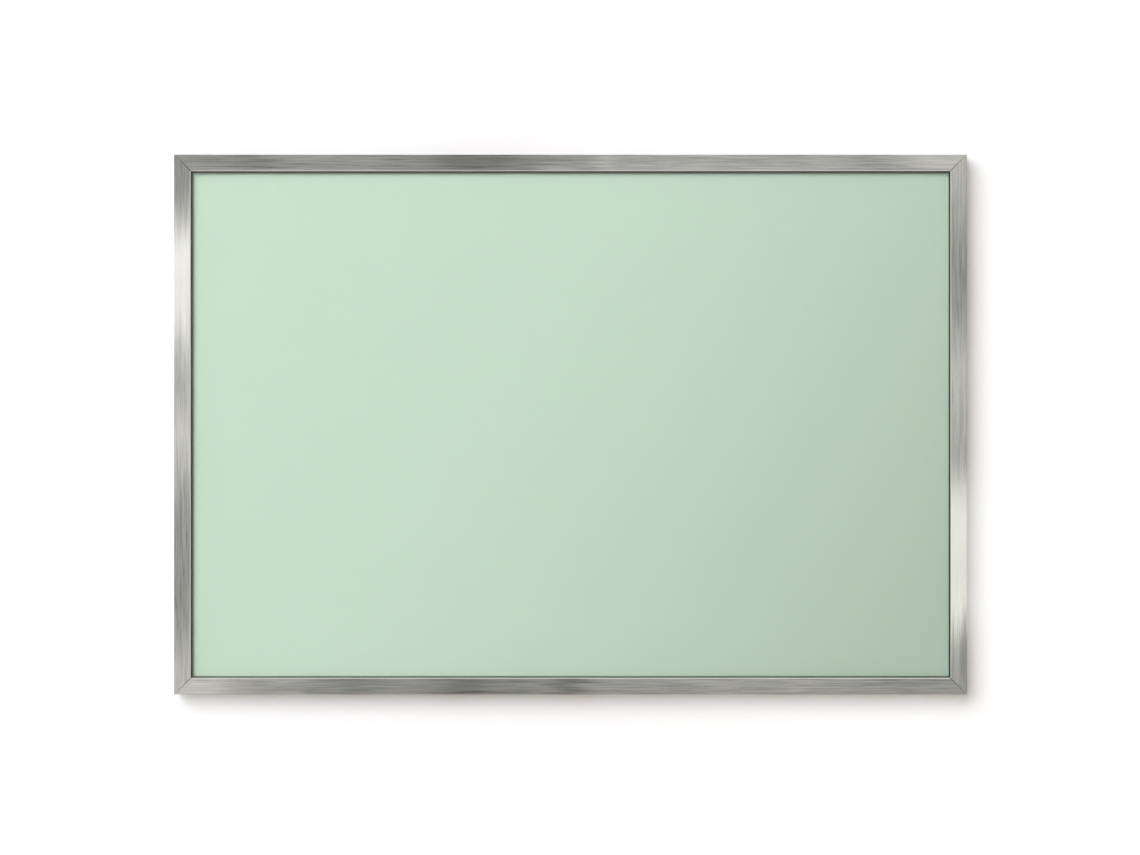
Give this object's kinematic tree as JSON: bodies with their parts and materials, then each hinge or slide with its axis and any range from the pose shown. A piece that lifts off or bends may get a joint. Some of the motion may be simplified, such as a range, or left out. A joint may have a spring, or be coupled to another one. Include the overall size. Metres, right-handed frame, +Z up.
{
  "type": "magnetic glass board",
  "caption": "Wall-hung magnetic glass writing board: back-coloured glass over steel in a mitred metal frame that lifts off a wall rail.",
  "frame": {"origin": "middle of the wall rail's rear face, on the wall plane", "axes": "+X to the viewer's right, +Z up, the board faces -Y and the wall is the plane Y = 0"},
  "size_m": [0.94, 0.025, 0.64],
  "materials": {
    "frame_metal": "satin",
    "key_metal": "matte",
    "screw_metal": "satin",
    "gasket_rubber": "matte",
    "glass": "polished",
    "colour_coat": "satin",
    "adhesive": "matte",
    "sheet_steel": "satin",
    "core": "matte",
    "block_plastic": "matte",
    "cleat_metal": "satin",
    "buffer_rubber": "matte"
  },
  "bodies": {
    "wall_side": {"wall_rail": "cleat_metal"},
    "board": {"frame_rail_top": "frame_metal", "frame_rail_bottom": "frame_metal", "frame_rail_left": "frame_metal", "frame_rail_right": "frame_metal", "corner_key_top_left": "key_metal", "corner_key_top_right": "key_metal", "corner_key_bottom_left": "key_metal", "corner_key_bottom_right": "key_metal", "corner_screw_top_left_a": "screw_metal", "corner_screw_top_left_b": "screw_metal", "corner_screw_top_right_a": "screw_metal", "corner_screw_top_right_b": "screw_metal", "corner_screw_bottom_left_a": "screw_metal", "corner_screw_bottom_left_b": "screw_metal", "corner_screw_bottom_right_a": "screw_metal", "corner_screw_bottom_right_b": "screw_metal", "glazing_gasket_top": "gasket_rubber", "glazing_gasket_bottom": "gasket_rubber", "glazing_gasket_left": "gasket_rubber", "glazing_gasket_right": "gasket_rubber", "glass_panel": "glass", "colour_layer": "colour_coat", "bonding_sheet": "adhesive", "magnetic_steel_sheet": "sheet_steel", "core_board": "core", "back_plate": "sheet_steel", "setting_block_left": "block_plastic", "setting_block_right": "block_plastic", "board_cleat": "cleat_metal", "cleat_screw_1": "screw_metal", "cleat_screw_2": "screw_metal", "cleat_screw_3": "screw_metal", "cleat_screw_4": "screw_metal", "cleat_screw_5": "screw_metal", "cleat_screw_6": "screw_metal", "wall_buffer_left": "buffer_rubber", "wall_buffer_right": "buffer_rubber"}
  },
  "joints": [
    {"name": "lift_off", "type": "slide", "parent": "wall_side", "child": "board", "axis": [0, 0, 1], "range_m": [0, 0.012]}
  ]
}
